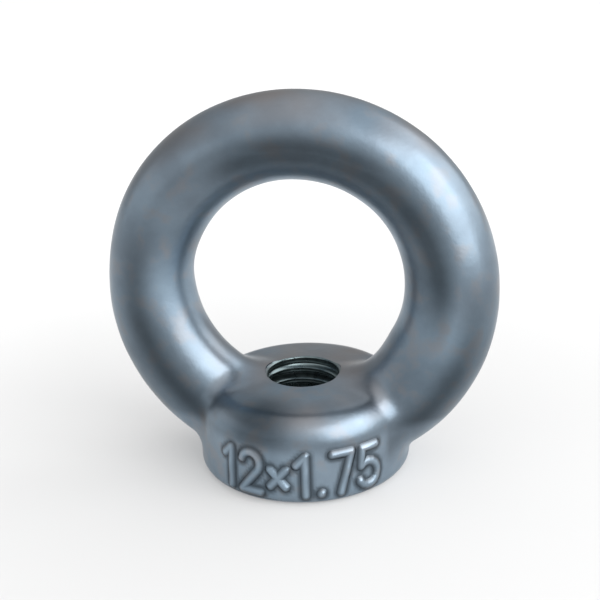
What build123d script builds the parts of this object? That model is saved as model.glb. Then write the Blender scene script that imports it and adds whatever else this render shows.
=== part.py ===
from build123d import *
import math
import os

# Lifting eye nut, M12, drop-forged in one piece. A round bar is closed into an eye, its two legs
# swell a little on their way down and flow into a thick round collar, and one tapped bore runs
# right through the collar along the eye's own centre line.
#
# The nut's seat is the plane z = 0, the thread's axis is +Z and the eye stands in the XZ plane.
# Lengths are in millimetres, angles in degrees. An angle on the eye is counted from +X, upwards,
# about the eye's centre.

# --- eye ----------------------------------------------------------------------------------------

EYE_INSIDE = 30.0        # clear diameter
BAR_DIAMETER = 12.0      # the round bar at the crown
LEG_START = 15.0         # angle at which a leg begins to swell
LEG_FOOT = -60.0         # angle by which it is fully grown, inside the collar
LEG_GROWTH = 0.65        # what the foot has over the plain bar's radius, in the plane of the eye
LEG_SPANS = 6            # spans between the sections that a leg is drawn through

# --- collar -------------------------------------------------------------------------------------

COLLAR_DIAMETER = 30.0   # where its wall would meet the seat
COLLAR_HEIGHT = 13.0     # from the seat to the flat top around the mouth
COLLAR_LEAN = 2.0        # draft of its wall
EYE_FLAT = 2.0           # how far the flat top cuts up into the round of the eye
SHOULDER_RADIUS = 5.0    # round between the wall and the top
SEAT_EDGE_RADIUS = 1.4   # round between the wall and the seat
BLEND_RADIUS = 2.0       # hollow where the legs run into the collar

# --- tapped bore --------------------------------------------------------------------------------

THREAD_DIAMETER = 12.0   # nominal diameter of the bolt
THREAD_PITCH = 1.75
SEAT_MOUTH_EDGE = 0.35   # what the countersink at the seat has over the bolt's radius
TOP_MOUTH_EDGE = 0.4     # width of the chamfer around the upper mouth

# --- sizes that follow from these ----------------------------------------------------------------

BAR_RADIUS = BAR_DIAMETER / 2
EYE_RADIUS = EYE_INSIDE / 2 + BAR_RADIUS
EYE_CENTRE = COLLAR_HEIGHT - EYE_FLAT + EYE_INSIDE / 2
COLLAR_RADIUS = COLLAR_DIAMETER / 2
COLLAR_TOP_RADIUS = COLLAR_RADIUS - COLLAR_HEIGHT * math.tan(math.radians(COLLAR_LEAN))
THREAD_DEPTH = 5 / 8 * THREAD_PITCH * math.cos(math.radians(30))
BORE_RADIUS = THREAD_DIAMETER / 2 - THREAD_DEPTH
SEAT_MOUTH_RADIUS = THREAD_DIAMETER / 2 + SEAT_MOUTH_EDGE
TOP_MOUTH_RADIUS = BORE_RADIUS + TOP_MOUTH_EDGE

# The short stretch of wall between the seat and the underside of a leg carries two rounds, the
# seat's edge below and the leg's blend above. Each keeps to its own half of it.
LEG_REACH = EYE_RADIUS + BAR_RADIUS + LEG_GROWTH
WALL_BELOW_LEG = EYE_CENTRE - math.sqrt(LEG_REACH ** 2 - COLLAR_RADIUS ** 2)
LEG_CORNER = math.radians(90) + math.asin(COLLAR_RADIUS / LEG_REACH)
SEAT_EDGE = min(SEAT_EDGE_RADIUS, WALL_BELOW_LEG * 0.52)
BLEND = min(BLEND_RADIUS, (WALL_BELOW_LEG - SEAT_EDGE) * math.tan(LEG_CORNER / 2))


def bar_section(angle, growth):
    """The bar's section at an angle on the eye: a circle, or an oval where it has grown."""
    turn = math.radians(angle)
    outward = Vector(math.cos(turn), 0, math.sin(turn))
    along = Vector(-math.sin(turn), 0, math.cos(turn))
    plane = Plane(Vector(0, 0, EYE_CENTRE) + outward * EYE_RADIUS, x_dir=-outward, z_dir=along)
    if growth > 0:
        return plane * Ellipse(BAR_RADIUS + growth, BAR_RADIUS)
    return plane * Circle(BAR_RADIUS)


def crown():
    """The plain round bar over the top of the eye, from one leg to the other."""
    turn_axis = Axis((0, 0, EYE_CENTRE), (0, -1, 0))
    return revolve(bar_section(LEG_START, 0), turn_axis, revolution_arc=180 - 2 * LEG_START)


def leg():
    """The leg on the +X side, down to the lowest point of the eye's circle.

    Its growth eases in and out between LEG_START and LEG_FOOT, so it leaves the crown and
    reaches the collar with no crease.
    """
    sections = []
    for step in range(LEG_SPANS + 1):
        angle = LEG_START - (LEG_START + 90) * step / LEG_SPANS
        share = min((LEG_START - angle) / (LEG_START - LEG_FOOT), 1)
        sections.append(bar_section(angle, LEG_GROWTH * share ** 2 * (3 - 2 * share)))
    return loft(sections)


def eye():
    """The whole eye, cut off at the seat where its circle would pass below the collar."""
    right = leg()
    return split(crown() + right + mirror(right, Plane.YZ), Plane.XY, keep=Keep.TOP)


def collar():
    """The collar as a turned form: leaning wall, round shoulder, flat top, rounded seat edge."""
    with BuildSketch() as half:
        with BuildLine():
            Polyline((0, 0), (COLLAR_RADIUS, 0), (COLLAR_TOP_RADIUS, COLLAR_HEIGHT),
                     (0, COLLAR_HEIGHT), close=True)
        make_face()
        rim = half.vertices().filter_by(lambda corner: corner.X > BORE_RADIUS).sort_by(Axis.Y)
        fillet(rim[0], SEAT_EDGE)
        rim = half.vertices().filter_by(lambda corner: corner.X > BORE_RADIUS).sort_by(Axis.Y)
        fillet(rim[-1], SHOULDER_RADIUS)
    return revolve(Plane.XZ * half.sketch, Axis.Z)


def bore():
    """What the drill and the two countersinks take away, at the thread's minor diameter."""
    seat_sink = SEAT_MOUTH_RADIUS - BORE_RADIUS
    with BuildSketch() as half:
        with BuildLine():
            Polyline((0, 0), (SEAT_MOUTH_RADIUS, 0), (BORE_RADIUS, seat_sink),
                     (BORE_RADIUS, COLLAR_HEIGHT - TOP_MOUTH_EDGE),
                     (TOP_MOUTH_RADIUS, COLLAR_HEIGHT), (0, COLLAR_HEIGHT), close=True)
        make_face()
    return revolve(Plane.XZ * half.sketch, Axis.Z)


def eye_nut():
    """Eye and collar as one forging, blended where the legs run in, then bored through."""
    ring = eye()
    base = collar()
    forging = ring + base
    blended = fillet(new_edges(ring, base, combined=forging), BLEND)
    return blended - bore()


os.makedirs("parts", exist_ok=True)
nut = eye_nut()
export_step(nut, "parts/eye_nut.step")
print("eye nut", nut.bounding_box(), "volume", round(nut.volume), "solids", len(nut.solids()))
print("bore radius", round(BORE_RADIUS, 3), "length", round(COLLAR_HEIGHT, 3))
print("rounds at the foot of a leg", round(SEAT_EDGE, 3), round(BLEND, 3))
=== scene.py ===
# %% [markdown]
# # A forged lifting eye nut
# An eye nut is one drop-forged piece: a round bar closed into a ring, two legs that swell as they
# come down, and a thick collar with a thread through it. The hammer leaves it smooth and a little
# uneven, shot-blasting makes it satin, and only the thread and the seat are ever cut by a tool.
# This lesson loads the measured part as a fixed frame and gives it a skin, a real thread, a raised
# size mark and the finish of blasted steel. Every length below is in millimetres, and each mesh is
# scaled to metres as it is made.

# %% Load the frame
import bpy
import math
import numpy as np
from mathutils import Matrix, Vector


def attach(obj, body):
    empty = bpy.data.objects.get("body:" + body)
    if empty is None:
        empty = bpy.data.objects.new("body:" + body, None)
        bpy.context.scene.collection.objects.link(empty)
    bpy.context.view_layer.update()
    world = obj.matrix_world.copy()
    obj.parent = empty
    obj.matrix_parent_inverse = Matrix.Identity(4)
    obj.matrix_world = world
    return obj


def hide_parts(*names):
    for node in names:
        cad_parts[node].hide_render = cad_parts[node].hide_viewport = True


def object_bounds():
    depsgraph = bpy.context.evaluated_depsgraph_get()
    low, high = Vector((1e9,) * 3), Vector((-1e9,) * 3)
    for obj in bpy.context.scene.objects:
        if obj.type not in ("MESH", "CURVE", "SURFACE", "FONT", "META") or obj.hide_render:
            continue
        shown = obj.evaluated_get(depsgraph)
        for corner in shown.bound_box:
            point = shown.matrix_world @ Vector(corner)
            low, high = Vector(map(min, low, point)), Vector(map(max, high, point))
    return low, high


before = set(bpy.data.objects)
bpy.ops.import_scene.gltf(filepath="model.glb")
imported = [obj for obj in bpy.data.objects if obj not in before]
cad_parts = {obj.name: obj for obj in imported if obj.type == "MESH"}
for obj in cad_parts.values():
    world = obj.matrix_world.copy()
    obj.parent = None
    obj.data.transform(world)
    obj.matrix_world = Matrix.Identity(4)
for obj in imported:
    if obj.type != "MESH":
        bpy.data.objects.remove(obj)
cad_box = [list(corner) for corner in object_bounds()]
MM = 0.001
print("the frame holds", sorted(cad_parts), "in a box of",
      [round(1000 * (b - a), 2) for a, b in zip(*cad_box)], "mm")

# %% [markdown]
# ## The sizes of the forging
# The box of the frame gives the height of the crown, and the eye's centre hangs from that. The
# others are the drawing's own values: a skin that is to lie on the measured solid has to start
# from the same numbers. Only the rounds are softer than on the drawing and the collar's top is
# slightly domed, because hot steel never fills a die's corners with a true circle.

# %% Sizes, in millimetres
low, high = (np.array(corner) / MM for corner in cad_box)
EYE_INSIDE = 30.0                                  # clear diameter of the eye
BAR = 6.0                                          # radius of the bar at the crown
EYE = EYE_INSIDE / 2 + BAR                         # radius of the bar's centre line
EYE_HEIGHT = high[2] - EYE - BAR                   # height of the eye's centre
COLLAR, COLLAR_TOP, DRAFT = 15.0, 13.0, math.radians(2)
SHOULDER, DOME = 3.3, 80.0                         # radius of the shoulder, and of the domed top
SEAT_EDGE = 1.4                                    # round at the seat
HOLLOW_UNDER, HOLLOW_OVER = 1.0, 1.9               # hollow below a leg, and in front and behind
LEG_START, LEG_FOOT, LEG_GROWTH = 15.0, -60.0, 0.65      # two angles, and what the leg gains
PITCH, MAJOR = 1.75, 6.0                           # an M12 thread
MINOR = 5.0528                                     # what the tapping drill leaves
print("eye centre at", round(EYE_HEIGHT, 2), "mm, bar", 2 * BAR, "mm")

# %% [markdown]
# ## One skin over a branching shape
# A ring that grows out of a collar is not a single sheet: no pair of parameters runs over all of
# it. It could be joined from two meshes with a boolean and then bevelled, but a forging has no
# edge to bevel, only one surface that flows. So each form is written as a distance: a number for
# every point of space, negative inside the metal. Two distances melt together by adding a
# fillet's circle between them, and the skin is where the result is zero.

# %% The distance to the bent bar
# The worn die: thinner at the crown, fuller inside the right leg, and a flat on the left. Each has
# a depth in millimetres, and angles in degrees up from the level of the eye's centre.
THINNER, CROWN_FROM, CROWN_FADE = 0.10, 40.0, 40.0
FULLER, FULLER_TOP, FULLER_GROWS, FULLER_FOOT, FULLER_FADES = 0.60, 50.0, 50.0, -50.0, 24.0
FLAT_SPOT, FLAT_AT, FLAT_WIDE = 0.16, 9.0, 13.0
SIDE_BLEND = 4.0                                   # the width in which left turns into right


def eased(share):
    """0 to 1, leaving and arriving gently: 3s^2 - 2s^3."""
    share = np.clip(share, 0, 1)
    return share * share * (3 - 2 * share)


def bar_distance(x, y, z):
    """The bent bar. Round the eye's centre a point has a radius and an angle. Across the bar it is
    an oval: (radius - eye)/a and y/b squared and summed. Down the legs a grows by LEG_GROWTH, and
    by FULLER on the inner side alone, which also moves the oval's middle inwards by half of that.
    THINNER comes off at the crown and FLAT_SPOT off a few degrees of the left."""
    radius = np.hypot(x, z - EYE_HEIGHT)
    angle = np.degrees(np.arctan2(z - EYE_HEIGHT, np.abs(x)))
    right = eased(0.5 + x / SIDE_BLEND)
    fuller = (FULLER * right * eased((FULLER_TOP - angle) / FULLER_GROWS)
              * eased((angle - FULLER_FOOT) / FULLER_FADES))
    across = (BAR + LEG_GROWTH * eased((LEG_START - angle) / (LEG_START - LEG_FOOT)) + fuller / 2
              - THINNER * eased((angle - CROWN_FROM) / CROWN_FADE)
              - FLAT_SPOT * (1 - right) * np.exp(-((angle - FLAT_AT) / FLAT_WIDE) ** 2))
    step = radius - EYE + fuller / 2
    level = np.sqrt((step / across) ** 2 + (y / BAR) ** 2)
    slope = np.sqrt((step / across ** 2) ** 2 + (y / BAR ** 2) ** 2)
    return level * (level - 1) / np.maximum(slope, 1e-9)


print("1 mm from the bar's middle line the skin is",
      round(float(-bar_distance(0.0, 1.0, EYE_HEIGHT + EYE)), 2), "mm away")

# %% The distance to the collar
CORNER_BEND = 2.1                                  # how gently the shoulder leaves its faces


def rounded_corner(a, b, reach, bend=2.0):
    """Where two faces meet: the larger distance, with the corner cut by the curve on which
    (a + reach)^bend + (b + reach)^bend is reach^bend. A bend of 2 is a circle, and a higher one
    leaves the faces more gently."""
    power = np.maximum(a + reach, 0) ** bend + np.maximum(b + reach, 0) ** bend
    return np.minimum(np.maximum(a, b), -reach) + power ** (1 / bend)


def collar_distance(x, y, z):
    """The collar: a wall that leans in by its draft, a flat seat, and a top that is a shallow cap.
    From the hole's edge the cap falls by (out squared - hole squared) / 2 DOME."""
    out = np.hypot(x, y)
    wall = (out - COLLAR + z * math.tan(DRAFT)) * math.cos(DRAFT)
    top = z - COLLAR_TOP + (out ** 2 - MINOR ** 2) / (2 * DOME)
    return np.maximum(rounded_corner(wall, top, SHOULDER, CORNER_BEND),
                      rounded_corner(wall, -z, SEAT_EDGE))


print("the wall at mid height is at", round(COLLAR - COLLAR_TOP / 2 * math.tan(DRAFT), 2), "mm")

# %% The whole forging
UNEVEN, HOLLOW_BEND = 0.05, 2.1
UNDER_LEG, UNDER_FADE = 1.5, 4.5                   # half width of the tight hollow below a leg,
                                                   # and how it opens to the front and back
ON_TOP, TOP_FADE = 14.0, 3.0                       # how far in it opens onto the collar's top


def melted(a, b, reach, bend):
    """Two bodies as one: the same curve as in a rounded corner, laid into the hollow between."""
    power = np.maximum(reach - a, 0) ** bend + np.maximum(reach - b, 0) ** bend
    return np.maximum(reach, np.minimum(a, b)) - power ** (1 / bend)


def unevenness(x, y, z):
    """What hammer and scale take off, at most UNEVEN deep: three slow waves that never line up."""
    waves = (np.sin(0.31 * x + 0.47 * z + 1.0) * np.sin(0.53 * y - 0.22 * x + 0.4)
             + np.sin(0.61 * z - 0.38 * x + 2.1) * np.sin(0.71 * y + 0.29 * z)
             + 0.6 * np.sin(0.93 * x + 0.27 * y) * np.sin(0.83 * z - 0.5 * y + 1.7))
    return UNEVEN * np.clip(0.5 + waves / 5.2, 0, 1)


def forging_distance(x, y, z):
    """The whole forging, before it is tapped. Its hollow is HOLLOW_UNDER wide right below a leg and
    opens to HOLLOW_OVER elsewhere."""
    open_side = np.maximum(eased((np.abs(y) - UNDER_LEG) / UNDER_FADE),
                           eased((ON_TOP - np.abs(x)) / TOP_FADE))
    hollow = HOLLOW_UNDER + (HOLLOW_OVER - HOLLOW_UNDER) * open_side
    melt = melted(bar_distance(x, y, z), collar_distance(x, y, z), hollow, HOLLOW_BEND)
    return np.maximum(melt + unevenness(x, y, z), -z)


print("a leg's foot is", round(float(-forging_distance(COLLAR, 0.0, COLLAR_TOP)), 2),
      "mm inside the forging")

# %% [markdown]
# ## Laying a net over the skin
# Space is divided into small cubes. Each cube that the skin passes through gets one vertex, and
# each cube edge that pierces the skin gets one four-sided face between the cubes around it. Then
# the vertices slide to the mean of their neighbours and are pulled back along the slope of the
# distance, which leaves an even net that lies exactly on the form.

# %% Pull points onto the skin
def slope_of(distance, points, reach=0.01):
    """The distance's slope at each point, by differences along the three axes."""
    parts = []
    for axis in np.eye(3) * reach:
        parts.append(distance(*(points + axis).T) - distance(*(points - axis).T))
    return np.stack(parts, 1) / (2 * reach)


def pulled(distance, points, rounds=3):
    """Each point moved along the slope until the distance there is zero."""
    for _ in range(rounds):
        slope = slope_of(distance, points)
        size = np.maximum((slope ** 2).sum(1), 1e-6)
        points = points - slope * (distance(*points.T) / size)[:, None]
    return points


crown = pulled(forging_distance, np.array([[0.0, 0.0, high[2] + 1]]))[0]
print("a point above the crown comes down to", round(float(crown[2]), 2), "mm")

# %% A net of quads from a distance
def net_over(distance, start, stop, cell):
    """Vertices and quads over the zero of a distance, between two corners."""
    counts = np.ceil((stop - start) / cell).astype(int) + 1
    axes = [start[i] + cell * np.arange(counts[i]) for i in range(3)]
    inside = distance(*np.meshgrid(*axes, indexing="ij")) < 0
    full = sum(inside[i:counts[0] - 1 + i, j:counts[1] - 1 + j, k:counts[2] - 1 + k].astype(int)
               for i in (0, 1) for j in (0, 1) for k in (0, 1))
    crossed = (full > 0) & (full < 8)
    number = np.full(full.shape, -1)
    number[crossed] = np.arange(crossed.sum())
    points = start + cell * (np.argwhere(crossed) + 0.5)
    quads = []
    for a in range(3):
        order = (a, (a + 1) % 3, (a + 2) % 3)
        grid, cube = np.transpose(inside, order), np.transpose(number, order)
        before, after = grid[:-1, 1:-1, 1:-1], grid[1:, 1:-1, 1:-1]
        i, j, k = np.nonzero(before != after)
        ring = np.stack([cube[i, j, k], cube[i, j + 1, k], cube[i, j + 1, k + 1],
                         cube[i, j, k + 1]], 1)
        ring[after[i, j, k]] = ring[after[i, j, k]][:, ::-1]
        quads.append(ring)
    return points, np.concatenate(quads)


CELL, MARGIN, OFF_GRID = 0.42, 1.0, 0.013          # off the grid, no cube's corner is on the seat
points, quads = net_over(forging_distance, low - MARGIN - OFF_GRID, high + MARGIN, CELL)
print(len(points), "vertices and", len(quads), "quads")

# %% Even out the net
def evened(distance, points, quads, rounds=6, share=0.6):
    """The net with even cells: each vertex goes a share of the way to its neighbours' mean, and is
    pulled back onto the skin."""
    points = pulled(distance, points, 4)
    for _ in range(rounds):
        total, met = np.zeros_like(points), np.zeros(len(points))
        for corner in range(4):
            here, there = quads[:, corner], quads[:, (corner + 1) % 4]
            for one, other in ((here, there), (there, here)):
                met += np.bincount(one, minlength=len(points))
                for axis in range(3):
                    total[:, axis] += np.bincount(one, points[other, axis], len(points))
        points = pulled(distance, (1 - share) * points + share * total / met[:, None], 2)
    return points


points = evened(forging_distance, points, quads)
print("furthest off the form:", round(float(np.abs(forging_distance(*points.T)).max()), 4), "mm")

# %% Put arrays into a mesh
def mesh_piece(name, points, faces):
    """A new object at the origin, from points in millimetres and rows of vertex numbers."""
    mesh = bpy.data.meshes.new(name)
    mesh.from_pydata((points * MM).tolist(), [], [list(face) for face in faces])
    mesh.validate()
    mesh.shade_smooth()
    piece = bpy.data.objects.new(name, mesh)
    bpy.context.scene.collection.objects.link(piece)
    return piece


forging = mesh_piece("forged_eye_nut", points, quads.tolist())
print(forging.name, "is", [round(1000 * d, 2) for d in forging.dimensions], "mm")

# %% [markdown]
# ## The thread
# The real collar is drilled and then tapped. A texture could fake the grooves, but light catches
# the edge of each turn in the mouth, so they are cut for real: a plug shaped like the hole is
# taken away from the forging. The plug is one surface of two parameters, the turn round the axis
# and the height. Its radius is a 60 degree groove that climbs one pitch for each turn, and the
# rows of the grid climb with it, so that each crest is one clean line of edges. After a full turn
# a row meets the one that started a pitch higher.

# %% The radius of the tapped hole
FLANK = math.radians(30)                           # half of the groove's angle
THREAD_SOFT = 0.12                                 # rounding of crest and root
SEAT_MOUTH = 6.35                                  # radius of the mouth at the seat
TOP_LAND, RUN_OUT = 0.45, 1.5                      # plain rim, and the shallow turn below it
TOP_BREAK, BREAK_END = 0.22, 1.2                   # the broken edge, and where its flare stops


def soft_least(a, b, soft):
    """The smaller of two lengths, with the corner between them rounded over a width of soft."""
    near = np.clip(0.5 + 0.5 * (b - a) / soft, 0, 1)
    return b * (1 - near) + a * near - soft * near * (1 - near)


def hole_radius(turn, height):
    """The hole's radius: from the middle of a groove the flank falls by 1/tan 30 degrees, between
    the flat root at the major radius and the flat crest at the minor one. The seat's mouth is a
    cone that opens at 45 degrees. Under the top the tap's tapered lead leaves the last turn
    shallow, and the edge of the top is only broken."""
    phase = np.mod(height / PITCH - turn / (2 * math.pi), 1.0)
    flank = MAJOR - (np.abs(phase - 0.5) * PITCH - PITCH / 16) / math.tan(FLANK)
    groove = -soft_least(-soft_least(flank, MAJOR, THREAD_SOFT), -MINOR, THREAD_SOFT)
    depth = eased((COLLAR_TOP - TOP_LAND - height) / RUN_OUT)
    groove = MINOR + (groove - MINOR) * depth
    broken = 1 + (height - COLLAR_TOP) / TOP_BREAK
    broken = MINOR + TOP_BREAK * np.clip(broken, 0, BREAK_END) ** 2
    return np.maximum(groove, np.maximum(SEAT_MOUTH - height, broken))


root, crest = hole_radius(0, 4.5 * PITCH), hole_radius(0, 4 * PITCH)
print("a groove is", round(float(root - crest), 2), "mm deep")

# %% The plug that the tap leaves empty
ROUND, ROWS = 120, 20                              # columns round the hole, rows to one pitch
BELOW, ABOVE = -0.5, COLLAR_TOP + 0.5              # the plug stands out at both ends
turns = math.ceil((ABOVE - BELOW) / PITCH) + 1
rows = np.arange(-ROWS, turns * ROWS + 1)
turn, step = np.meshgrid(2 * math.pi * np.arange(ROUND) / ROUND, rows * PITCH / ROWS)
height = np.clip(BELOW + step + PITCH * turn / (2 * math.pi), BELOW, ABOVE)
radius = hole_radius(turn, height)
grid = np.stack([radius * np.cos(turn), radius * np.sin(turn), height], -1)
number = np.arange(grid[..., 0].size).reshape(grid.shape[:2])
beside = np.roll(number, -1, 1)[:-1 - ROWS]
beside[:, -1] = number[ROWS:-1, 0]
above = np.roll(number, -1, 1)[1:len(rows) - ROWS]
above[:, -1] = number[ROWS + 1:, 0]
sides = np.stack([number[:-1 - ROWS], beside, above, number[1:len(rows) - ROWS]], -1)
sides = sides.reshape(-1, 4)
_, first, merged = np.unique(np.round(grid.reshape(-1, 3), 5), axis=0, return_index=True,
                             return_inverse=True)
sides = merged.reshape(-1)[sides]
sides = sides[(np.diff(np.sort(sides, 1), axis=1) == 0).sum(1) < 2]
wall = grid.reshape(-1, 3)[first]
faces = [list(dict.fromkeys(side)) for side in sides.tolist()]
for at, way in ((BELOW, -1), (ABOVE, 1)):
    end = np.nonzero(wall[:, 2] == at)[0]
    order = np.argsort(np.arctan2(wall[end, 1], wall[end, 0]))
    faces.append(end[order][::way].tolist())
plug = mesh_piece("tap_plug", wall, faces)
print("the plug has", len(plug.data.polygons), "faces over", turns - 1, "turns")

# %% Cut it out of the forging
SHARP = math.radians(32)                           # an edge that turns further stays crisp
cut = forging.modifiers.new("tapped hole", "BOOLEAN")
cut.operation, cut.object, cut.solver = "DIFFERENCE", plug, "EXACT"
bpy.context.view_layer.update()
shown = forging.evaluated_get(bpy.context.evaluated_depsgraph_get())
tapped = bpy.data.meshes.new_from_object(shown)
forging.modifiers.clear()
forging.data = tapped
tapped.name = "forged_eye_nut"
bpy.data.objects.remove(plug)
tapped.shade_smooth()
tapped.set_sharp_from_angle(angle=SHARP)
tapped.calc_loop_triangles()
print("after the tap:", len(tapped.loop_triangles), "triangles")

# %% [markdown]
# ## The raised size mark
# A die leaves raised marks: soft ridges with no sharp edge, under half a millimetre high. This one
# only gives the thread, its diameter and pitch, in plain numbers. A font set into the wall would
# have crisp edges, so each figure is drawn as strokes, the height at a point follows from its
# distance to the nearest stroke, and the sheet that carries them is wrapped onto the wall. Where
# there is no stroke the sheet lies just under the skin and isn't seen. Each vertex also keeps a
# value of painted light, from 1, a painted highlight on a ridge, to -1, painted shade at its foot.

# %% The figures
def bow(across, up, radius, start, stop, squeeze=1.0):
    """Points along an arc, as a stroke of short straight lengths; angles in degrees."""
    angle = np.radians(np.linspace(start, stop, 13))
    return np.stack([across + squeeze * radius * np.cos(angle), up + radius * np.sin(angle)], 1)


FIGURES = {
    "1": (0.34, [[(0.02, 0.78), (0.24, 1.0), (0.24, 0.0)]]),
    "2": (0.54, [np.concatenate([bow(0.26, 0.72, 0.28, 165, -35, 0.9), [(0.02, 0), (0.53, 0)]])]),
    "x": (0.46, [[(0.04, 0.20), (0.42, 0.64)], [(0.04, 0.64), (0.42, 0.20)]]),
    ".": (0.16, [[(0.07, 0.02), (0.08, 0.02)]]),
    "7": (0.50, [[(0.0, 1.0), (0.49, 1.0), (0.19, 0.0)]]),
    "5": (0.52, [np.concatenate([[(0.49, 1.0), (0.08, 1.0), (0.04, 0.56)],
                                 bow(0.24, 0.31, 0.31, 135, -150, 0.9)])]),
}
print(len(FIGURES), "figures, each with its width and its strokes, as shares of its height")

# %% The mark as strokes on the wall
MARK = "12x1.75"
MARK_TALL, MARK_GAP, MARK_FOOT = 5.6, 1.15, 1.65      # figure height, gap and lowest point
STROKE, MARK_PROUD, MARK_SUNK = 0.84, 0.42, 0.04      # half width, height, depth between strokes
MARK_TURN = math.radians(6)                            # its middle, from the front towards +X
BESIDE, OVER = 1.2, 1.0                                # bare sheet beside and over the figures


def strokes_of(text):
    """The text's strokes as pairs of ends, side by side and centred on zero, in millimetres."""
    along, ends = 0.0, []
    for figure in text:
        width, lines = FIGURES[figure]
        for line in lines:
            line = np.array(line) * MARK_TALL + (along, 0)
            ends.append(np.stack([line[:-1], line[1:]], 1))
        along += width * MARK_TALL + MARK_GAP
    ends = np.concatenate(ends)
    ends[..., 0] -= (along - MARK_GAP) / 2
    ends[..., 1] += MARK_FOOT
    return ends


def distance_to_strokes(across, up, ends):
    """Distance to the nearest stroke: a point's foot on a stroke is kept within its ends."""
    nearest = np.full(across.shape, 1e9)
    for (ax, ay), (bx, by) in ends:
        dx, dy = bx - ax, by - ay
        share = ((across - ax) * dx + (up - ay) * dy) / (dx * dx + dy * dy)
        share = np.clip(share, 0, 1)
        nearest = np.minimum(nearest, np.hypot(across - ax - share * dx, up - ay - share * dy))
    return nearest


strokes = strokes_of(MARK)
half_span = float(np.abs(strokes[..., 0]).max()) + BESIDE
print(MARK, "is", round(2 * (half_span - BESIDE), 1), "mm long in", len(strokes), "short lengths")

# %% Wrap the sheet onto the wall
ALONG, UP = 300, 84                                # vertices along the sheet and up it
DIE_WEAR, SHEET_BACK = 0.14, -0.5                  # share that wears off, and the sheet's back
RIDGE_PAINTED_HIGHLIGHT, PAINTED_LIGHT_FALL = 1.5, 3.3                     # painted highlight on a ridge, and its fall over a half width
across, up = np.meshgrid(np.linspace(-half_span, half_span, ALONG),
                         np.linspace(MARK_FOOT - OVER, MARK_FOOT + MARK_TALL + OVER, UP))
away = distance_to_strokes(across, up, strokes) / STROKE
ridge = np.clip(1 - away ** 2, 0, 1) ** 1.5
kept = 1 - DIE_WEAR + DIE_WEAR * np.sin(1.1 * across + 0.6) * np.sin(1.7 * up)
proud = (MARK_PROUD + MARK_SUNK) * ridge * kept - MARK_SUNK
around = MARK_TURN + across / COLLAR
outward = np.stack([np.sin(around), -np.cos(around), np.zeros_like(around)], -1)


def on_wall(lift):
    """The sheet's points at a lift off the wall."""
    radius = COLLAR - up * math.tan(DRAFT)
    foot = (outward * radius[..., None] + np.stack([0 * up, 0 * up, up], -1)).reshape(-1, 3)
    depth = forging_distance(*foot.T).reshape(up.shape)
    return (foot.reshape(up.shape + (3,)) + outward * (lift - depth)[..., None]).reshape(-1, 3)


front, back = on_wall(proud), on_wall(np.full_like(up, SHEET_BACK))
number = np.arange(UP * ALONG).reshape(UP, ALONG)
face = np.stack([number[:-1, :-1], number[:-1, 1:], number[1:, 1:], number[1:, :-1]], -1)
face = face.reshape(-1, 4)
loop = np.concatenate([number[0, :-1], number[:-1, -1], number[-1, :0:-1], number[:0:-1, 0]])
after = np.roll(loop, -1)
rim = np.stack([loop + number.size, after + number.size, after, loop], 1)
faces = np.concatenate([face, face[:, ::-1] + number.size, rim])
size_mark = mesh_piece("raised_size_mark", np.concatenate([front, back]), faces.tolist())
painted_shade_and_light = size_mark.data.attributes.new("painted_shade_and_light", "FLOAT", "POINT")
# painted highlight on each ridge, falling to painted shade at its foot; the sheet's back gets none
mark_painted_shade_and_light = np.clip(RIDGE_PAINTED_HIGHLIGHT - PAINTED_LIGHT_FALL * away, -1, 1).ravel()
painted_shade_and_light.data.foreach_set("value", np.concatenate([mark_painted_shade_and_light, np.zeros(away.size)]))
print(size_mark.name, "has", len(size_mark.data.polygons), "faces")

# %% [markdown]
# ## Painted shade and painted light on the skin
# The dark bands along the inside of the eye and down the legs, and the dark patch on the front of
# the dome, are painted shade: they darken the colour where the metal would reflect a dark room or
# lie in shade. The bright patches on the inner left of the eye and on the right leg, the band along
# the inside of the eye and the collar's wall are painted light, and the foot round the raised
# figures gets painted shade. A noise would put such places anywhere, so each vertex keeps a value
# instead: -1 is full painted shade, 0 the plain colour and 1 full painted light. The material
# reads it later.

# %% The places with painted shade and painted light
DOME_PAINTED_SHADE = ((-3.8, -12.2, 11.3), 7.0, 1.0)             # painted shade on the front of the dome: place, reach and share
PAINTED_SHADE_BANDS = [                                          # painted shade bands: radius, width, first angle, span, fade, share
    (19.5, 2.0, -28.0, 163.0, 30.0, 1.05),         # inside of the crown and the right side
    (20.6, 1.7, 38.0, 88.0, 30.0, 1.0),            # further out at the crown
    (21.5, 2.2, 150.0, 110.0, 26.0, 1.0),          # outside of the left leg
    (23.9, 2.1, 270.0, 110.0, 35.0, 0.95),         # outside of the right leg
]
PAINTED_HIGHLIGHT_PATCHES = [((-16.3, -3.6, 27.0), 9.0, 1.0), ((20.5, -6.0, 22.0), 8.0, 0.5)]      # painted highlights
EYE_EDGE_PAINTED_HIGHLIGHT = (15.2, 1.9, 10.0, 150.0, 25.0, 1.3)    # a painted highlight along the inside of the eye
WALL_PAINTED_LIGHT, FOOT_PAINTED_SHADE = 0.75, 0.85                # painted light on the wall, and painted shade round the figures
FRONT_FADE, FRONT_END, END_FADE = 3.0, 8.5, 1.5    # how far forward the bands reach
WALL_FROM, WALL_FADE, WALL_TOP, WALL_END = 13.6, 0.6, 9.0, 2.0      # where the collar's wall is
FOOT_REACH, FOOT_FADE = 1.7, 0.8                   # from a stroke, in its half widths
# the printed bands are painted shade, and the printed places painted light
print(len(PAINTED_SHADE_BANDS), "bands of scale and", len(PAINTED_HIGHLIGHT_PATCHES) + 1, "rubbed places")

# %% The painted shade and painted light at each vertex
def spot_of(x, y, z, place, reach, share):
    """A soft round patch: share times eased(1.15 (1 - distance/reach))."""
    away = np.sqrt((x - place[0]) ** 2 + (y - place[1]) ** 2 + (z - place[2]) ** 2)
    return share * eased(1.15 * (1 - away / reach))


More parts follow.
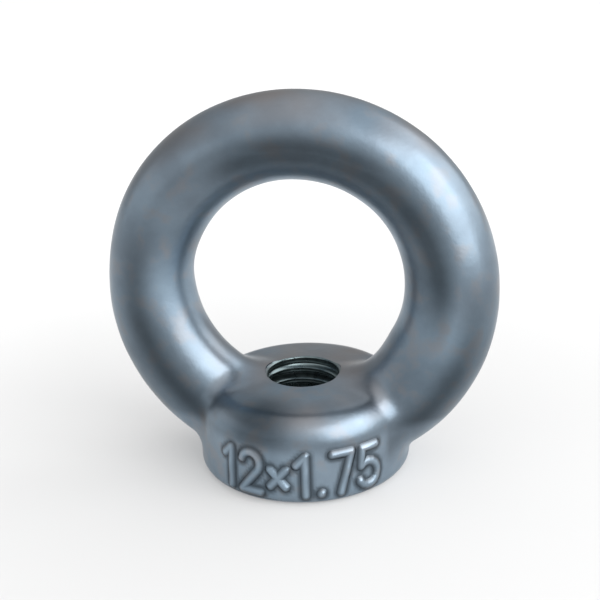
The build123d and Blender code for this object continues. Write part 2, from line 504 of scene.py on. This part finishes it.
def band_of(x, z, at, wide, first, span, fade, share):
    """A band round the eye: exp(-((radius - at)/wide)^2), from the first angle over the span, with
    soft ends."""
    turn = np.mod(np.degrees(np.arctan2(z - EYE_HEIGHT, x)) - first, 360)
    ends = eased(turn / fade) * eased((span - turn) / fade)
    return share * ends * np.exp(-((np.hypot(x, z - EYE_HEIGHT) - at) / wide) ** 2)


def painted_shade_and_light_of(x, y, z):
    """Painted shade and painted light at each point. Of the painted shade patch on the dome and the
    painted shade bands on the bar's front the largest counts. The painted highlights, the painted
    highlight along the inside of the eye and the painted light on the wall are added, less the
    painted shade round the figures."""
    front = eased(-y / FRONT_FADE) * eased((y + FRONT_END) / END_FADE)
    painted_shade = spot_of(x, y, z, *DOME_PAINTED_SHADE)
    for band in PAINTED_SHADE_BANDS:
        painted_shade = np.maximum(painted_shade, front * band_of(x, z, *band))
    # painted highlights on the inner left of the eye, on the right leg and along the inside of the
    # eye
    painted_highlight = sum(spot_of(x, y, z, *patch) for patch in PAINTED_HIGHLIGHT_PATCHES) + band_of(x, z, *EYE_EDGE_PAINTED_HIGHLIGHT)
    # painted light on the collar's wall
    wall = eased((np.hypot(x, y) - WALL_FROM) / WALL_FADE) * eased((WALL_TOP - z) / WALL_END)
    around = COLLAR * (np.arctan2(x, -y) - MARK_TURN)
    away = distance_to_strokes(around, z, strokes) / STROKE
    # painted shade round the raised figures
    foot = eased((FOOT_REACH - away) / FOOT_FADE)
    return painted_highlight - painted_shade + wall * (WALL_PAINTED_LIGHT - (WALL_PAINTED_LIGHT + FOOT_PAINTED_SHADE) * foot)


skin = np.zeros(len(tapped.vertices) * 3)
tapped.vertices.foreach_get("co", skin)
# painted shade and painted light at each vertex of the skin
skin_painted_shade_and_light = np.clip(painted_shade_and_light_of(*(skin.reshape(-1, 3) / MM).T), -1, 1)
tapped.attributes.new("painted_shade_and_light", "FLOAT", "POINT").data.foreach_set("value", skin_painted_shade_and_light)
# the share printed as scale is the share with painted shade
print("scale on", round(100 * float((skin_painted_shade_and_light < -0.2).mean())), "% of the vertices")

# %% [markdown]
# ## Blasted steel
# The forging is carbon steel, shot-blasted and left with a thin dark film of oxide. It is a metal
# through and through: there is no paint to see, only a tinted, satin mirror. The shot leaves dents
# of about half a millimetre, which spread every highlight, and the film is thicker in some places
# than in others, which shows as soft clouds a few millimetres across. A roughness alone would look
# like plastic film, so the dents are real bumps and the clouds change colour and gloss together.

# %% Small helpers for materials
def steel_colour(code):
    """A linear colour from an sRGB hex code."""
    parts = [int(code[i:i + 2], 16) / 255 for i in (1, 3, 5)]
    return tuple(p / 12.92 if p <= 0.04045 else ((p + 0.055) / 1.055) ** 2.4 for p in parts) + (1,)


def add_node(tree, kind, settings=None, **links):
    """A node with its settings; each keyword names an input, and gives a value or a socket."""
    node = tree.nodes.new(kind)
    for key, value in (settings or {}).items():
        setattr(node, key, value)
    for key, value in links.items():
        socket = node.inputs[int(key[1:]) if key[1:].isdigit() else key.replace("_", " ")]
        if isinstance(value, bpy.types.NodeSocket):
            tree.links.new(value, socket)
        else:
            socket.default_value = value
    return node


def new_metal(name):
    """An empty material with a metal's shader, and its object coordinates."""
    material = bpy.data.materials.new(name)
    material.use_nodes = True
    tree = material.node_tree
    shader = tree.nodes["Principled BSDF"]
    shader.inputs["Metallic"].default_value = 1.0
    place = add_node(tree, "ShaderNodeTexCoord").outputs["Object"]
    return material, tree, shader, place


print("a mid grey, #808080, is", round(steel_colour("#808080")[0], 3), "in linear light")

# %% Blasted forged steel
# Cast shot leaves overlapping dents, so highlights are broad and soft-edged. The oxide film over
# them is blue-grey, thicker in clouds, and a little brown in patches on faces that look upward and
# in small flecks.
OXIDE_DARK, OXIDE_PALE, OXIDE_BROWN = (steel_colour(c) for c in ("#667480", "#71818E", "#7C7470"))
CLOUD, PATCH, BLOTCH, SHOT, SCALE = 6.0, 14.0, 3.0, 0.55, 2.4      # sizes in millimetres
blasted, tree, shader, place = new_metal("shot_blasted_forged_steel")
noise = "ShaderNodeTexNoise"
cloud = add_node(tree, noise, Vector=place, Scale=1 / (CLOUD * MM), Detail=4.0, Roughness=0.55)
patch = add_node(tree, noise, Vector=place, Scale=1 / (PATCH * MM), Detail=2.0)
blotch = add_node(tree, noise, Vector=place, Scale=1 / (BLOTCH * MM), Detail=3.0)
shot = add_node(tree, noise, Vector=place, Scale=1 / (SHOT * MM), Detail=2.0)
scale = add_node(tree, noise, Vector=place, Scale=1 / (SCALE * MM), Detail=3.0)

thick = add_node(tree, "ShaderNodeMapRange", Value=cloud.outputs["Fac"], From_Min=0.36,
                 From_Max=0.64)
film = add_node(tree, "ShaderNodeMix", {"data_type": "RGBA"}, i0=thick.outputs[0], i6=OXIDE_DARK,
                i7=OXIDE_PALE)
facing = add_node(tree, "ShaderNodeSeparateXYZ",
                  Vector=add_node(tree, "ShaderNodeNewGeometry").outputs["Normal"])
upward = add_node(tree, "ShaderNodeMapRange", Value=facing.outputs["Z"], From_Min=0.35,
                  To_Min=0.10, To_Max=0.75)
stained = add_node(tree, "ShaderNodeMapRange", Value=patch.outputs["Fac"], From_Min=0.40,
                   From_Max=0.62)
brown = add_node(tree, "ShaderNodeMath", {"operation": "MULTIPLY"}, i0=upward.outputs[0],
                 i1=stained.outputs[0])
flecked = add_node(tree, "ShaderNodeMapRange", Value=blotch.outputs["Fac"], From_Min=0.50,
                   From_Max=0.66, To_Max=0.35)
brown = add_node(tree, "ShaderNodeMath", {"operation": "MAXIMUM"}, i0=brown.outputs[0],
                 i1=flecked.outputs[0])
film = add_node(tree, "ShaderNodeMix", {"data_type": "RGBA"}, i0=brown.outputs[0],
                i6=film.outputs[2], i7=OXIDE_BROWN)
print(blasted.name, "has", len(tree.nodes), "nodes for its film")

# %% Painted shade darkens the colour, and painted light brightens it
FULL_PAINTED_SHADE, FULL_PAINTED_LIGHT = 0.38, 1.62                 # what full painted shade and full painted light do to the colour
kept_painted_shade_and_light = add_node(tree, "ShaderNodeAttribute", {"attribute_name": "painted_shade_and_light"})
painted_shade_and_light_factor = add_node(tree, "ShaderNodeMapRange", Value=kept_painted_shade_and_light.outputs["Fac"], From_Min=-1.0,
                  To_Min=FULL_PAINTED_SHADE, To_Max=FULL_PAINTED_LIGHT)
# the film's colour times the painted shade and painted light
film = add_node(tree, "ShaderNodeMix", {"data_type": "RGBA", "blend_type": "MULTIPLY"}, i0=1.0,
                i6=film.outputs[2],
                i7=add_node(tree, "ShaderNodeCombineColor", Red=painted_shade_and_light_factor.outputs[0],
                            Green=painted_shade_and_light_factor.outputs[0], Blue=painted_shade_and_light_factor.outputs[0]).outputs[0])
tree.links.new(film.outputs[2], shader.inputs["Base Color"])
# full painted shade keeps this share of the colour
print("full scale keeps", FULL_PAINTED_SHADE, "of the colour")

# %% How the blasted steel takes the light
# Where the film is thin the dented metal is a little smoother. Two bumps stack: the shot's own
# dents, and the wider waves of a skin that scaled and was blasted again.
ROUGH, SMOOTH = 0.37, 0.32                         # under thick film and under thin
gloss = add_node(tree, "ShaderNodeMapRange", Value=cloud.outputs["Fac"], From_Min=0.3,
                 From_Max=0.7, To_Min=ROUGH, To_Max=SMOOTH)
tree.links.new(gloss.outputs[0], shader.inputs["Roughness"])
dents = add_node(tree, "ShaderNodeBump", Strength=0.5, Distance=0.03 * MM,
                 Height=shot.outputs["Fac"])
soft = add_node(tree, "ShaderNodeBump", Strength=0.4, Distance=0.05 * MM,
                Height=scale.outputs["Fac"], Normal=dents.outputs[0])
tree.links.new(soft.outputs[0], shader.inputs["Normal"])
print("roughness from", SMOOTH, "to", ROUGH)

# %% [markdown]
# ## The two cut surfaces
# Only two faces are ever cut. The tap leaves the thread bare, and cutting oil stays in it: the
# metal looks darker and its shine is tighter and wetter than outside. The seat is faced on a
# lathe: the tool leaves rings one feed apart, which pull each highlight into a bow across them.
# Both are bare steel, so they have no film, only the tool's own marks.

# %% Freshly tapped steel, dark with oil
TOOL_MARK = 0.9                                    # size of the tap's chatter in millimetres
oiled, tree, shader, place = new_metal("oiled_tapped_steel")
tool = add_node(tree, noise, Vector=place, Scale=1 / (TOOL_MARK * MM), Detail=3.0)
tint = add_node(tree, "ShaderNodeMix", {"data_type": "RGBA"}, i0=tool.outputs["Fac"],
                i6=steel_colour("#5E6B6E"), i7=steel_colour("#748082"))
tree.links.new(tint.outputs[2], shader.inputs["Base Color"])
gloss = add_node(tree, "ShaderNodeMapRange", Value=tool.outputs["Fac"], From_Min=0.3,
                 From_Max=0.7, To_Min=0.26, To_Max=0.34)
tree.links.new(gloss.outputs[0], shader.inputs["Roughness"])
chatter = add_node(tree, "ShaderNodeBump", Strength=0.4, Distance=0.02 * MM,
                   Height=tool.outputs["Fac"])
tree.links.new(chatter.outputs[0], shader.inputs["Normal"])
print(oiled.name, "is for the thread")

# %% The turned seat
FEED = 0.25                                        # the tool's step to one turn
WAVE = 2 * math.pi / 20                            # scale at which the pattern repeats each unit
turned, tree, shader, place = new_metal("turned_steel_seat")
across_seat = add_node(tree, "ShaderNodeSeparateXYZ", Vector=place)
on_seat = add_node(tree, "ShaderNodeCombineXYZ", X=across_seat.outputs["X"],
                   Y=across_seat.outputs["Y"])
rings = add_node(tree, "ShaderNodeTexWave", {"wave_type": "RINGS", "rings_direction": "Z"},
                 Vector=on_seat.outputs[0], Scale=WAVE / (FEED * MM), Distortion=0.4, Detail=2.0)
tint = add_node(tree, "ShaderNodeMix", {"data_type": "RGBA"}, i0=rings.outputs["Fac"],
                i6=steel_colour("#7C8388"), i7=steel_colour("#939A9E"))
tree.links.new(tint.outputs[2], shader.inputs["Base Color"])
shader.inputs["Roughness"].default_value = 0.30
grooves = add_node(tree, "ShaderNodeBump", Strength=0.5, Distance=0.02 * MM,
                   Height=rings.outputs["Fac"])
tree.links.new(grooves.outputs[0], shader.inputs["Normal"])
print(turned.name, "has a ring every", FEED, "mm")

# %% Give each face its finish
INWARD, HOLE_SLACK, SEAT_SLACK = -0.05, 0.1, 0.02  # how a cut face is told from the forged skin
for piece in (forging, size_mark):
    piece.data.materials.clear()
    for finish in (blasted, oiled, turned):
        piece.data.materials.append(finish)
count = len(tapped.polygons)
centre, normal = np.zeros(count * 3), np.zeros(count * 3)
tapped.polygons.foreach_get("center", centre)
tapped.polygons.foreach_get("normal", normal)
centre, normal = centre.reshape(-1, 3) / MM, normal.reshape(-1, 3)
out = np.hypot(centre[:, 0], centre[:, 1])
inward = (centre[:, 0] * normal[:, 0] + centre[:, 1] * normal[:, 1]) < INWARD * out
cut_face = (out < SEAT_MOUTH + HOLE_SLACK) & (centre[:, 2] < COLLAR_TOP + 0.01) & inward
seat_face = (centre[:, 2] < SEAT_SLACK) & (normal[:, 2] < -0.99)
finish_of = np.where(cut_face, 1, np.where(seat_face, 2, 0)).astype(np.int32)
tapped.polygons.foreach_set("material_index", finish_of)
print(int(cut_face.sum()), "faces tapped,", int(seat_face.sum()), "turned, of", count)

# %% [markdown]
# ## Tying the skin to the measured part
# Both pieces ride on the one body, and the skin stands for the measured solid, so that only one
# of the two shows. The mark is trim on the skin's wall and stands for nothing.

# %% Tie the pieces to the frame
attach(forging, "root")
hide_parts("eye_nut")
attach(size_mark, "root")
print("the forging stands for the measured solid")

# %% [markdown]
# ## Floor and light
# Satin metal is only as good as what it reflects. A broad soft key light in front on the right
# draws the long streak down the ring, and an edge light further round finishes its rim. A weak
# fill stands on the left, and the room is brighter above and towards the key. The floor is a sheet
# of pale paper with painted shade: a little greyer close to the lamps, so that their pool of light
# doesn't burn out, and a painted grey in front, which the underside of the ring reflects as a
# darker band.

# %% A sheet of paper for a floor
FLOOR_REACH, FLOOR_DROP = 3000.0, 0.02             # the drop keeps floor and seat apart
corner = np.array([[-1, -1, 0], [1, -1, 0], [1, 1, 0], [-1, 1, 0]]) * FLOOR_REACH
corner = corner - (0, 0, FLOOR_DROP)
floor = mesh_piece("paper_floor", corner, [[0, 1, 2, 3]])
paper = bpy.data.materials.new("paper_with_painted_shade")
paper.use_nodes = True
tree = paper.node_tree
shader = tree.nodes["Principled BSDF"]
shader.inputs["Roughness"].default_value = 0.9
shader.inputs["Specular IOR Level"].default_value = 0.1
print("floor", 2 * FLOOR_REACH * MM, "m square")

# %% The paper's painted shade, near the lamps and in front
# the first tone is painted shade where the lamps light the paper most, the last the painted grey in
# front
LAMP_PAINTED_SHADE, FAR, FRONT_PAINTED_SHADE = (steel_colour(code) for code in ("#C0C0C0", "#E6E6E6", "#CECECE"))
LAMP_SPOT = (30 * MM, -20 * MM, 0)                 # where the lamps light the paper most, and the painted shade is darkest
NEAR_TO, FAR_FROM = 30.0, 200.0                    # distances from it
GREY_FROM, GREY_TO = 34.0, 90.0                    # where the painted grey in front of the nut begins and where it is full
place = add_node(tree, "ShaderNodeTexCoord").outputs["Object"]
spot = add_node(tree, "ShaderNodeSeparateXYZ", Vector=place)
# the painted grey in front of the nut, which the metal reflects as a darker band
painted_front_grey = add_node(tree, "ShaderNodeMapRange", {"interpolation_type": "SMOOTHSTEP"},
                 Value=spot.outputs["Y"], From_Min=-GREY_FROM * MM, From_Max=-GREY_TO * MM)
away = add_node(tree, "ShaderNodeVectorMath", {"operation": "DISTANCE"}, i0=place, i1=LAMP_SPOT)
fade = add_node(tree, "ShaderNodeMapRange", {"interpolation_type": "SMOOTHSTEP"},
                Value=away.outputs["Value"], From_Min=NEAR_TO * MM, From_Max=FAR_FROM * MM)
pale = add_node(tree, "ShaderNodeMix", {"data_type": "RGBA"}, i0=fade.outputs[0], i6=LAMP_PAINTED_SHADE, i7=FAR)
tone = add_node(tree, "ShaderNodeMix", {"data_type": "RGBA"}, i0=painted_front_grey.outputs[0],
                i6=pale.outputs[2], i7=FRONT_PAINTED_SHADE)
tree.links.new(tone.outputs[2], shader.inputs["Base Color"])
print("the paper goes from tone", round(LAMP_PAINTED_SHADE[0], 2), "to", round(FAR[0], 2))

# %% The paper as the camera and the metal see it
# Paper in a bright room is nearly white to the eye. A share of plain white is added for rays that
# come from the camera or from the metal, and none of it lights the object.
LIFT = 0.27
path = add_node(tree, "ShaderNodeLightPath").outputs
seen = add_node(tree, "ShaderNodeMath", {"operation": "MAXIMUM"}, i0=path["Is Camera Ray"],
                i1=path["Is Glossy Ray"])
seen = add_node(tree, "ShaderNodeMath", {"operation": "MAXIMUM"}, i0=seen.outputs[0],
                i1=path["Is Transmission Ray"])
lift = add_node(tree, "ShaderNodeMath", {"operation": "MULTIPLY"}, i0=seen.outputs[0], i1=LIFT)
# in front the added share is the painted grey, not white
lifted = add_node(tree, "ShaderNodeMix", {"data_type": "RGBA"}, i0=painted_front_grey.outputs[0],
                  i6=(1, 1, 1, 1), i7=FRONT_PAINTED_SHADE)
glow = add_node(tree, "ShaderNodeEmission", Color=lifted.outputs[2], Strength=1.0)
both = add_node(tree, "ShaderNodeMixShader", i0=lift.outputs[0], i1=shader.outputs[0],
                i2=glow.outputs[0])
tree.links.new(both.outputs[0], tree.nodes["Material Output"].inputs["Surface"])
floor.data.materials.append(paper)
print(LIFT, "of what the camera sees of the paper is its own white")

# %% The room
ROOM_LOW, ROOM_HIGH = 0.58, 1.75                   # brightness far from the key's side, and on it
KEY_SIDE = (0.50, -0.28, 0.82)                     # up and to the right, a direction of length 1
world = bpy.data.worlds.new("studio")
bpy.context.scene.world = world
world.use_nodes = True
tree = world.node_tree
tree.nodes["Background"].inputs["Color"].default_value = (1, 1, 1, 1)
facing = add_node(tree, "ShaderNodeVectorMath", {"operation": "DOT_PRODUCT"},
                  i0=add_node(tree, "ShaderNodeTexCoord").outputs["Generated"], i1=KEY_SIDE)
room = add_node(tree, "ShaderNodeMapRange", Value=facing.outputs["Value"], To_Min=ROOM_LOW,
                To_Max=ROOM_HIGH)
tree.links.new(room.outputs[0], tree.nodes["Background"].inputs["Strength"])
print("the room goes from", ROOM_LOW, "to", ROOM_HIGH)

# %% The lamps
MIDDLE = np.array([0, 0, 26 * MM])                 # what the lamps face


def placed(right, above, back, spot):
    """The matrix of a lamp or camera from its three directions and its place, in metres."""
    rows = np.column_stack([right, above, back, spot]).tolist()
    return Matrix(rows + [[0, 0, 0, 1]])


def soft_light(name, azimuth, elevation, distance, width, tall, glow):
    """A rectangle of light that faces the nut's middle; glow is its brightness where 1 is white."""
    a, e = math.radians(azimuth), math.radians(elevation)
    back = np.array([math.sin(a) * math.cos(e), -math.cos(a) * math.cos(e), math.sin(e)])
    data = bpy.data.lights.new(name, "AREA")
    data.shape, data.size, data.size_y = "RECTANGLE", width, tall
    data.energy = glow * math.pi * width * tall
    lamp = bpy.data.objects.new(name, data)
    side = np.cross([0, 0, 1], back)
    side /= np.linalg.norm(side)
    lamp.matrix_world = placed(side, np.cross(back, side), back, back * distance + MIDDLE)
    bpy.context.scene.collection.objects.link(lamp)


soft_light("key", azimuth=56, elevation=21, distance=0.34, width=0.32, tall=0.36, glow=3.15)
soft_light("edge", azimuth=106, elevation=31, distance=0.40, width=0.42, tall=0.36, glow=1.8)
soft_light("fill", azimuth=-66, elevation=15, distance=0.45, width=0.62, tall=0.22, glow=0.6)
print("lit by a key, an edge light, a fill and the room")

# %% [markdown]
# ## The camera
# It looks down a little, from slightly right of the front, so that the eye, the top of the collar
# with its tapped hole and the raised mark all show. It stands close with a moderate lens, as one
# does with a thing this small, and it isn't quite level.

# %% Camera
AZIMUTH, ELEVATION, ROLL = math.radians(10.12), math.radians(21.09), math.radians(-2.1)
DISTANCE, LENS, AIM = 159.9, 69.5, np.array([-0.09, 0.0, 23.73])
back = np.array([math.sin(AZIMUTH) * math.cos(ELEVATION), -math.cos(AZIMUTH) * math.cos(ELEVATION),
                 math.sin(ELEVATION)])
right = np.cross(-back, [0, 0, 1])
right /= np.linalg.norm(right)
above = np.cross(right, -back)
right, above = (math.cos(ROLL) * right + math.sin(ROLL) * above,
                -math.sin(ROLL) * right + math.cos(ROLL) * above)
lens = bpy.data.cameras.new("camera")
lens.lens, lens.clip_start, lens.clip_end = LENS, 0.005, 20
camera = bpy.data.objects.new("camera", lens)
stand = (AIM + DISTANCE * back) * MM
camera.matrix_world = placed(right, above, back, stand)
bpy.context.scene.collection.objects.link(camera)
bpy.context.scene.camera = camera
bpy.context.scene.view_settings.view_transform = "Standard"
print("camera at", [round(float(c), 3) for c in stand], "m")
